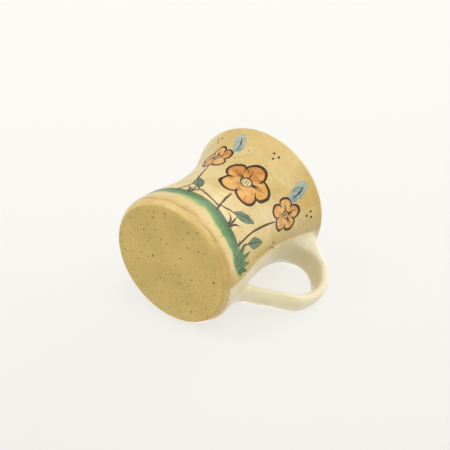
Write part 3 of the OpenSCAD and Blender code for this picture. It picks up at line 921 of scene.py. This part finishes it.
band.piece("green_brushed_band", "green_slip", green_slip, "green_band")
petals.piece("orange_petals", "orange_slip", orange_slip, "orange_flowers")
leaves.piece("painted_leaves", "dark_green_slip", leaf_slip, "green_leaves")
dabs.piece("blue_brush_dabs", "blue_slip", blue_slip, "blue_dabs")
lines.piece("dark_brush_lines", "dark_green_slip", dark_slip)


# Stage, light and camera
# Two plain grounds: the one that the mug lies on in the photograph and the
# level one under its base. Each shows only from above and only to the camera,
# so neither keeps light from the mug.

CAMERA = np.array([0.07241, -0.32156, -0.25671])
FORWARD = np.array([-0.1572, 0.7128, 0.6835])
# upwards from the ground that the mug lies on, and its distance from the axis at z = 0
LYING_UP = np.array([-0.554, -0.828, 0.082])
LYING_UP /= np.linalg.norm(LYING_UP)
LYING_DROP = 0.0389
AHEAD = FORWARD - LYING_UP * (FORWARD @ LYING_UP)
AHEAD /= np.linalg.norm(AHEAD)
ACROSS = np.cross(AHEAD, LYING_UP)
GROUND_HALF = 3.0
SOFTBOX_WIDTH = math.radians(45)


def ground(name, centre, up, pale_of, matt_share, glow_share):
    """A plane that only the camera sees, from above: mostly its own colour, and partly taking shadow."""
    mat = bpy.data.materials.new(name)
    mat.use_nodes = True
    nodes = mat.node_tree.nodes
    nodes.remove(nodes["Principled BSDF"])
    n = Nodes(mat.node_tree, nodes["Material Output"])
    n.at = n.add("TexCoord", out="Object")
    pale = pale_of(n)
    dim = n.add("VectorMath", ins={0: pale, "Scale": matt_share}, operation="SCALE")
    matt = n.add("BsdfDiffuse", ins={"Color": dim})
    glow = n.add("Emission", ins={"Color": pale, "Strength": glow_share})
    both = n.add("AddShader", ins={0: matt, 1: glow})
    seen = n.add("LightPath", out="Is Camera Ray")
    back = n.add("NewGeometry", out="Backfacing")
    show = n.times(seen, n.math("SUBTRACT", 1.0, back))
    n.feed(Surface=n.add("MixShader", ins={0: show, 1: n.add("BsdfTransparent"), 2: both}))
    along = np.cross(up, [0.3, 0.1, 1.0] if abs(up[2]) < 0.9 else [0, 1, 0])
    along /= np.linalg.norm(along)
    across = np.cross(up, along)
    mesh = bpy.data.meshes.new(name)
    corners = [np.array(centre) + GROUND_HALF * (i * along + j * across)
               for i, j in ((-1, -1), (1, -1), (1, 1), (-1, 1))]
    mesh.from_pydata([tuple(c) for c in corners], [], [(0, 1, 2, 3)])
    mesh.materials.append(mat)
    floor = bpy.data.objects.new(name, mesh)
    bpy.context.scene.collection.objects.link(floor)


def brighter_behind(n):
    """The photograph's ground, lighter with distance."""
    far = n.add("VectorMath", out="Value", ins={0: n.at, 1: tuple(AHEAD)}, operation="DOT_PRODUCT")
    far = n.math("MAXIMUM", n.math("SUBTRACT", far, float(CAMERA @ AHEAD)), 0.24)
    level = n.math("SUBTRACT", 0.993, n.math("DIVIDE", 0.0275, far))
    tint = n.add("CombineXYZ", ins={0: 1.0, 1: 0.992, 2: 0.952})
    return n.add("VectorMath", ins={0: tint, "Scale": level}, operation="SCALE")


def plain_pale(n):
    return n.add("CombineXYZ", ins={0: 0.985, 1: 0.977, 2: 0.941})


ground("lying_ground", -LYING_UP * LYING_DROP, LYING_UP, brighter_behind, 0.22, 0.77)
ground("level_ground", (0, 0, -0.0001), np.array([0.0, 0.0, 1.0]), plain_pale, 0.5, 0.47)

world = bpy.data.worlds.new("studio")
bpy.context.scene.world = world
world.use_nodes = True
n = Nodes(world.node_tree, world.node_tree.nodes["Background"])
n.end.inputs["Color"].default_value = (1.0, 0.992, 0.97, 1)
ray = n.add("LightPath").node.outputs
seen = n.math("MAXIMUM", ray["Is Camera Ray"], ray["Is Glossy Ray"])
seen = n.math("MAXIMUM", seen, ray["Is Transmission Ray"])
n.feed(Strength=n.ramp(seen, 0.0, 1.0, 0.45, 0.94, smooth=False))


def softbox(name, power, height, turn):
    """Even light from one side of a light tent: degrees above the lying ground, and round from the right."""
    data = bpy.data.lights.new(name, "SUN")
    data.energy, data.angle = power, SOFTBOX_WIDTH
    data.color = (1.0, 0.995, 0.98)
    lamp = bpy.data.objects.new(name, data)
    bpy.context.scene.collection.objects.link(lamp)
    up, turn = math.radians(height), math.radians(turn)
    toward = math.sin(up) * LYING_UP + math.cos(up) * (math.cos(turn) * ACROSS + math.sin(turn) * AHEAD)
    lamp.rotation_euler = Vector(toward).to_track_quat("Z", "Y").to_euler()


softbox("overhead_front", 0.88, 60, 300)
softbox("overhead_left", 0.76, 60, 180)
softbox("right_panel", 0.68, 0, 0)
softbox("front_left_panel", 0.57, 0, 225)
softbox("behind_right_panel", 0.54, 30, 45)
softbox("table_front", 0.37, -35, 270)
softbox("table_behind", 0.7, -54, 122)
softbox("window_above_rim", 0.6, 11.9, 49.6)

camera = bpy.data.objects.new("camera", bpy.data.cameras.new("camera"))
bpy.context.scene.collection.objects.link(camera)
bpy.context.scene.camera = camera
camera.location = CAMERA
camera.rotation_euler = Euler([math.radians(a) for a in (146.7489, -35.1779, -28.8671)])
camera.data.lens = 60.71
camera.data.sensor_width = 36
camera.data.clip_start = 0.01

bpy.context.scene.view_settings.view_transform = "Standard"

bpy.context.view_layer.update()
